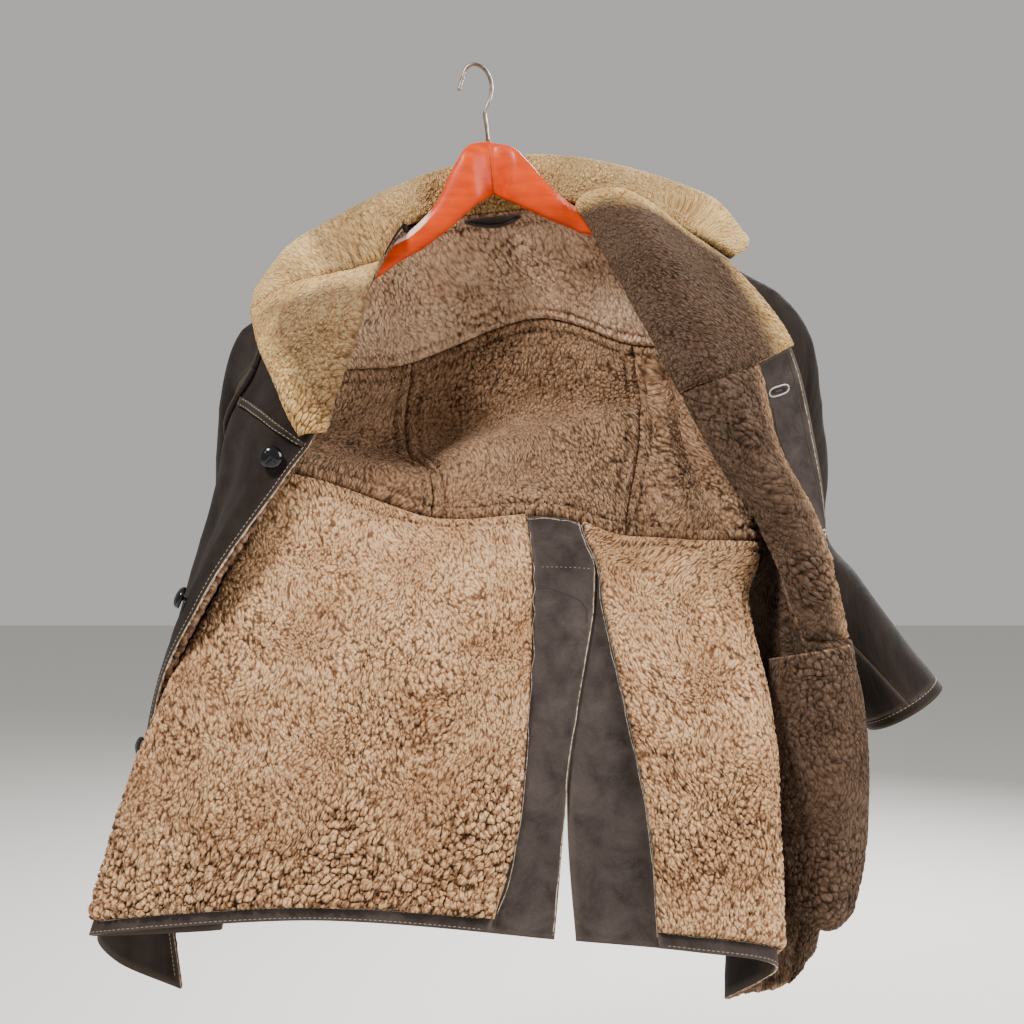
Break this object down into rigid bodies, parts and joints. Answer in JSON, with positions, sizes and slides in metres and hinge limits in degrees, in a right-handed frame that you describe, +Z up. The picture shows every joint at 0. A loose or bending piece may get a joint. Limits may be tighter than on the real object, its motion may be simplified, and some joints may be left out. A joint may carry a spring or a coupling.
{
  "type": "shearling coat on a wooden hanger",
  "caption": "Shearling coat with curly wool inside and brown suede outside, hung open on an orange lacquered wooden hanger; back, collar, lapels, vent and sleeves show.",
  "frame": {"origin": "the inside of the hanger hook's top, where a rail carries it", "axes": "+Z up, +Y from the open fronts towards the coat's back, +X towards the wearer's left"},
  "size_m": [0.8683, 0.3268, 0.9385],
  "materials": {
    "tan_shearling": "curly tan wool on hide",
    "collar_shearling": "coarse curly wool on hide",
    "brown_suede": "matt dark brown suede",
    "orange_lacquered_beech": "glossy orange lacquer",
    "steel_wire": "drawn wire",
    "black_button": "polished"
  },
  "bodies": {
    "root": {"back_centre": "tan_shearling", "back_side_l": "tan_shearling", "back_side_r": "tan_shearling", "back_skirt_l": "tan_shearling", "back_skirt_r": "tan_shearling", "back_yoke": "tan_shearling", "button_1": "black_button", "button_2": "black_button", "button_3": "black_button", "collar": "collar_shearling", "cuff_l": "brown_suede", "cuff_r": "brown_suede", "front_facing_l": "brown_suede", "front_l": "tan_shearling", "front_r": "tan_shearling", "front_skirt_l": "tan_shearling", "front_strip_l": "tan_shearling", "front_yoke_l": "tan_shearling", "front_yoke_r": "tan_shearling", "hanger_arm_l": "orange_lacquered_beech", "hanger_arm_r": "orange_lacquered_beech", "hanger_hook": "steel_wire", "hem_band_l": "brown_suede", "hem_band_r": "brown_suede", "lapel_l": "collar_shearling", "lapel_r": "collar_shearling", "neck_loop": "brown_suede", "neck_patch": "brown_suede", "pocket_bag_l": "tan_shearling", "sleeve_top_l": "tan_shearling", "sleeve_top_r": "tan_shearling", "sleeve_under_l": "tan_shearling", "sleeve_under_r": "tan_shearling", "vent_facing_l": "brown_suede", "vent_facing_r": "brown_suede", "yoke_band_r": "brown_suede"}
  },
  "joints": []
}
